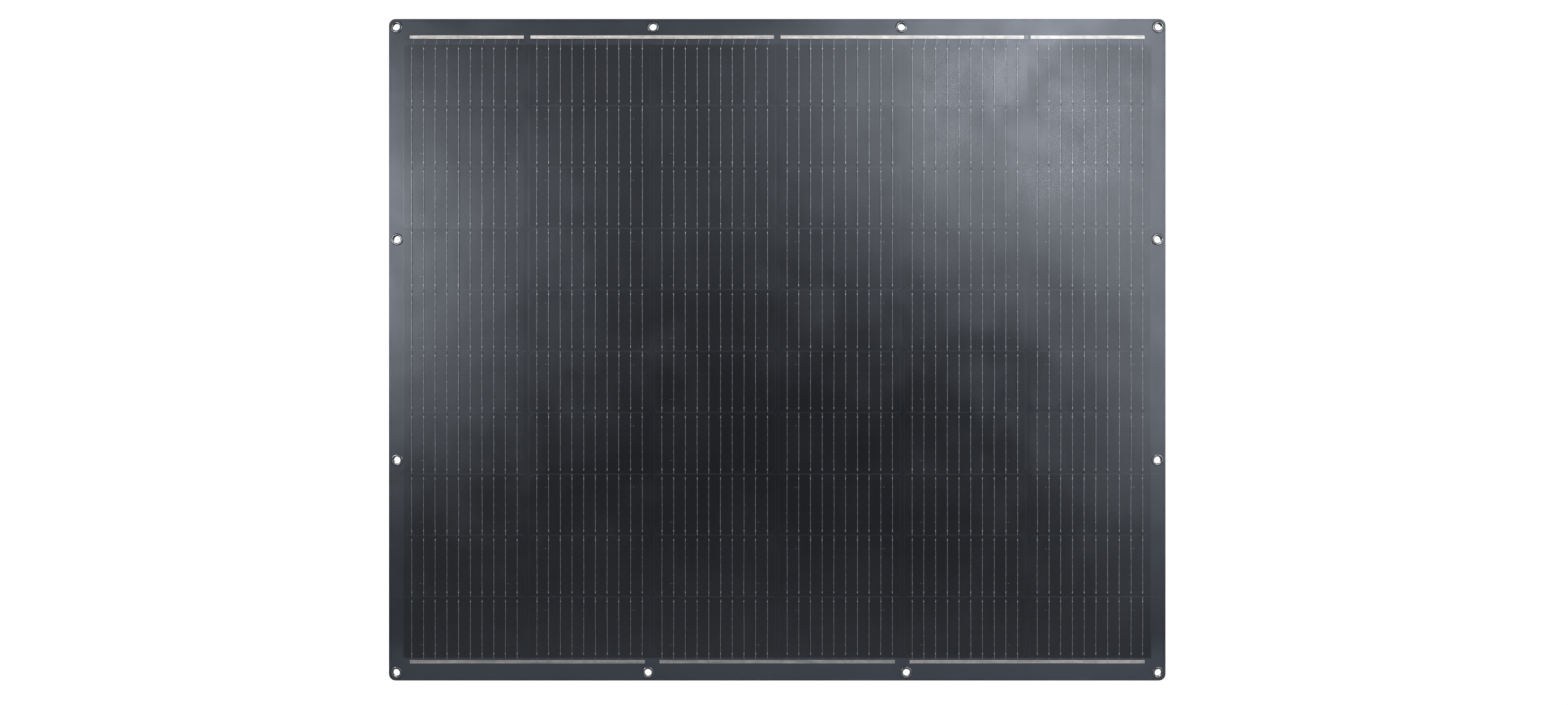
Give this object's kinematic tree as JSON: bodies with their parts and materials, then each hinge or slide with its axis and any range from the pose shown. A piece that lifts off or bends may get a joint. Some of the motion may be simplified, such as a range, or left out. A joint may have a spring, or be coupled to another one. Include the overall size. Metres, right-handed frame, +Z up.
{
  "type": "flexible solar sheet",
  "caption": "Flexible solar laminate of half-cut cells with edge eyelets to hang it by and junction boxes on its back",
  "frame": {"origin": "middle of the top line of eyelets, half-way through the laminate", "axes": "+X to the right of someone facing the cells, +Z up the hanging sheet, front face towards -Y"},
  "size_m": [1.16, 0.0197, 0.989],
  "materials": {
    "front_film": "satin fluoropolymer film",
    "encapsulant": "clear",
    "solar_cell": "dark satin silicon",
    "back_board": "matte",
    "bus_ribbon": "tinned, satin",
    "eyelet": "gunmetal plated",
    "box_plastic": "fine moulded texture",
    "seal_rubber": "matte",
    "diode": "moulded"
  },
  "bodies": {
    "sheet_top": {"front_film_top": "front_film", "front_encapsulant_top": "encapsulant", "cells_top": "solar_cell", "rear_encapsulant_top": "encapsulant", "back_board_top": "back_board", "eyelet_top_1": "eyelet", "eyelet_top_2": "eyelet", "eyelet_top_3": "eyelet", "eyelet_top_4": "eyelet", "bus_ribbon_top_1": "bus_ribbon", "bus_ribbon_top_2": "bus_ribbon", "bus_ribbon_top_3": "bus_ribbon", "bus_ribbon_top_4": "bus_ribbon", "junction_housing_left": "box_plastic", "bypass_diode_left": "diode", "cable_gland_left": "box_plastic", "gland_nut_left": "box_plastic", "junction_housing_middle": "box_plastic", "bypass_diode_middle": "diode", "junction_housing_right": "box_plastic", "bypass_diode_right": "diode", "cable_gland_right": "box_plastic", "gland_nut_right": "box_plastic"},
    "sheet_upper": {"front_film_upper": "front_film", "front_encapsulant_upper": "encapsulant", "cells_upper": "solar_cell", "rear_encapsulant_upper": "encapsulant", "back_board_upper": "back_board", "eyelet_left_upper": "eyelet", "eyelet_right_upper": "eyelet"},
    "sheet_middle": {"front_film_middle": "front_film", "front_encapsulant_middle": "encapsulant", "cells_middle": "solar_cell", "rear_encapsulant_middle": "encapsulant", "back_board_middle": "back_board"},
    "sheet_lower": {"front_film_lower": "front_film", "front_encapsulant_lower": "encapsulant", "cells_lower": "solar_cell", "rear_encapsulant_lower": "encapsulant", "back_board_lower": "back_board", "eyelet_left_lower": "eyelet", "eyelet_right_lower": "eyelet"},
    "sheet_bottom": {"front_film_bottom": "front_film", "front_encapsulant_bottom": "encapsulant", "cells_bottom": "solar_cell", "rear_encapsulant_bottom": "encapsulant", "back_board_bottom": "back_board", "eyelet_bottom_1": "eyelet", "eyelet_bottom_2": "eyelet", "eyelet_bottom_3": "eyelet", "eyelet_bottom_4": "eyelet", "bus_ribbon_bottom_1": "bus_ribbon", "bus_ribbon_bottom_2": "bus_ribbon", "bus_ribbon_bottom_3": "bus_ribbon"},
    "lid_left": {"junction_lid_left": "box_plastic", "lid_seal_left": "seal_rubber"},
    "lid_middle": {"junction_lid_middle": "box_plastic", "lid_seal_middle": "seal_rubber"},
    "lid_right": {"junction_lid_right": "box_plastic", "lid_seal_right": "seal_rubber"}
  },
  "joints": [
    {"name": "flex_upper", "type": "hinge", "parent": "sheet_top", "child": "sheet_upper", "pos_m": [0, 0, -0.2092], "axis": [1, 0, 0], "range_deg": [-12, 12], "stiffness_Nm_per_rad": 60},
    {"name": "flex_middle", "type": "hinge", "parent": "sheet_upper", "child": "sheet_middle", "pos_m": [0, 0, -0.3928], "axis": [1, 0, 0], "range_deg": [-12, 12], "stiffness_Nm_per_rad": 60},
    {"name": "flex_lower", "type": "hinge", "parent": "sheet_middle", "child": "sheet_lower", "pos_m": [0, 0, -0.5764], "axis": [1, 0, 0], "range_deg": [-12, 12], "stiffness_Nm_per_rad": 60},
    {"name": "flex_bottom", "type": "hinge", "parent": "sheet_lower", "child": "sheet_bottom", "pos_m": [0, 0, -0.76], "axis": [1, 0, 0], "range_deg": [-12, 12], "stiffness_Nm_per_rad": 60},
    {"name": "lid_left_pull", "type": "slide", "parent": "sheet_top", "child": "lid_left", "axis": [0, 1, 0], "range_m": [0, 0.02]},
    {"name": "lid_middle_pull", "type": "slide", "parent": "sheet_top", "child": "lid_middle", "axis": [0, 1, 0], "range_m": [0, 0.02]},
    {"name": "lid_right_pull", "type": "slide", "parent": "sheet_top", "child": "lid_right", "axis": [0, 1, 0], "range_m": [0, 0.02]}
  ],
  "couplings": [
    {"joint": "flex_middle", "follows": "flex_upper", "ratio": 1},
    {"joint": "flex_lower", "follows": "flex_upper", "ratio": 1},
    {"joint": "flex_bottom", "follows": "flex_upper", "ratio": 1}
  ]
}
